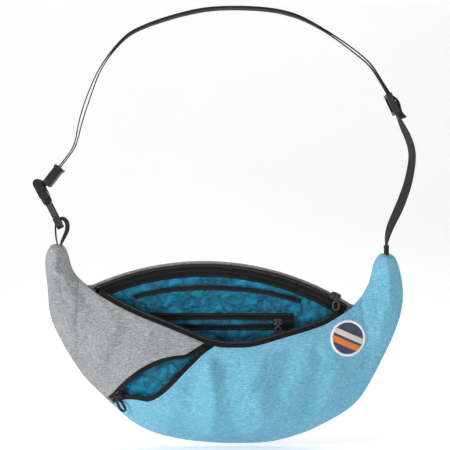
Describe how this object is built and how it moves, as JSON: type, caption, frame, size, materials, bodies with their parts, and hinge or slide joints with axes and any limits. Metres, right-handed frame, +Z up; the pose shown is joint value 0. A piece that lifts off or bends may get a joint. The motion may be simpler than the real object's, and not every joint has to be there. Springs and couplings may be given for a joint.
{
  "type": "sling bag",
  "caption": "Crescent-shaped fabric sling bag with an open zipped mouth, a slanted zipped front pocket, inner pockets and an adjustable shoulder strap on a snap hook.",
  "frame": {"origin": "on the flat outer face of the back panel, 90 mm above the bottom of the hem", "axes": "+Z up as worn with the strap above the bag, +X to the right seen from the front, +Y out of the back panel towards the wearer; the front bulges towards -Y"},
  "size_m": [0.3786, 0.054, 0.4375],
  "materials": {
    "shell_blue": "fine slubbed weave, light blue, matt with a slight sheen",
    "shell_grey": "heather grey melange weave, matt",
    "lining_teal": "crinkled thin nylon, bright teal blue, soft sheen",
    "zip_tape": "black woven zip tape",
    "zip_coil": "black nylon coil",
    "zip_metal": "black enamel",
    "binding": "black woven binding",
    "webbing": "charcoal flat webbing",
    "buckle_plastic": "black moulded acetal, fine texture",
    "patch_thread": "satin embroidery thread, navy, cream and orange",
    "patch_edge": "white merrowed edge thread"
  },
  "bodies": {
    "bag": {"back_panel": "shell_grey", "lining_back": "lining_teal", "front_panel_grey": "shell_grey", "front_panel_blue": "shell_blue", "main_zip_tape_front": "zip_tape", "main_zip_coil_front": "zip_coil", "front_zip_tape_upper": "zip_tape", "front_zip_tape_lower": "zip_tape", "front_zip_coil_upper": "zip_coil", "front_zip_coil_lower": "zip_coil", "front_pocket_lining": "lining_teal", "lining_front": "lining_teal", "main_zip_tape_back": "zip_tape", "main_zip_coil_back": "zip_coil", "slip_pocket_panel": "lining_teal", "slip_pocket_binding": "binding", "inner_zip_pocket_panel": "lining_teal", "inner_zip_tape_upper": "zip_tape", "inner_zip_tape_lower": "zip_tape", "inner_zip_coil_upper": "zip_coil", "inner_zip_coil_lower": "zip_coil", "zip_end_stops": "zip_metal", "patch_disc": "patch_thread", "patch_border": "patch_edge", "strap_webbing": "webbing", "tip_loop_left": "webbing", "strap_tab_right": "webbing"},
    "main_slider": {"main_zip_slider": "zip_metal"},
    "main_pull": {"main_zip_pull": "zip_metal"},
    "front_slider": {"front_zip_slider": "zip_metal"},
    "front_pull": {"front_zip_pull": "zip_metal"},
    "inner_slider": {"inner_zip_slider": "zip_metal"},
    "inner_pull": {"inner_zip_pull": "zip_metal"},
    "hook_head": {"snap_hook_head": "buckle_plastic"},
    "hook": {"snap_hook_body": "buckle_plastic"},
    "hook_gate": {"snap_hook_gate": "buckle_plastic"},
    "adjuster": {"strap_adjuster": "buckle_plastic", "strap_end_loop": "webbing"},
    "keeper": {"strap_keeper": "buckle_plastic"}
  },
  "joints": [
    {"name": "main_zip_travel", "type": "hinge", "parent": "bag", "child": "main_slider", "pos_m": [-0.0203, 0, -0.1804], "axis": [0, -1, 0], "range_deg": [0, 50]},
    {"name": "main_pull_flip", "type": "hinge", "parent": "main_slider", "child": "main_pull", "pos_m": [0.11164, -0.0115, 0.05757], "axis": [-1, 0, 0], "range_deg": [0, 150]},
    {"name": "front_zip_travel", "type": "hinge", "parent": "bag", "child": "front_slider", "pos_m": [-0.04499, 0.04467, 0.00268], "axis": [-0.5058, -0.0961, 0.8573], "range_deg": [0, 35]},
    {"name": "front_pull_flip", "type": "hinge", "parent": "front_slider", "child": "front_pull", "pos_m": [-0.10646, -0.0214, -0.04136], "axis": [-0.7165, 0.6939, -0.0717], "range_deg": [0, 150]},
    {"name": "inner_zip_travel", "type": "slide", "parent": "bag", "child": "inner_slider", "axis": [-1, 0, 0], "range_m": [0, 0.112]},
    {"name": "inner_pull_flip", "type": "hinge", "parent": "inner_slider", "child": "inner_pull", "pos_m": [0.054, -0.0099, 0.0319], "axis": [-1, 0, 0], "range_deg": [0, 120]},
    {"name": "hook_tilt", "type": "hinge", "parent": "bag", "child": "hook_head", "pos_m": [-0.1836, -0.0115, 0.1666], "axis": [0, -1, 0], "range_deg": [0, 3]},
    {"name": "hook_swivel", "type": "hinge", "parent": "hook_head", "child": "hook", "pos_m": [-0.1836, -0.0115, 0.1666], "axis": [0.457, 0, -0.8895], "range_deg": [-5, 5]},
    {"name": "hook_gate_press", "type": "hinge", "parent": "hook", "child": "hook_gate", "pos_m": [-0.17473, -0.0185, 0.14934], "axis": [0.8895, 0, 0.457], "range_deg": [0, 20], "stiffness_Nm_per_rad": 0.02},
    {"name": "adjuster_slide", "type": "slide", "parent": "bag", "child": "adjuster", "axis": [0.4249, 0, -0.9053], "range_m": [0, 0.016]},
    {"name": "keeper_slide", "type": "slide", "parent": "bag", "child": "keeper", "axis": [0.6153, 0, 0.7883], "range_m": [0, 0.012]}
  ]
}
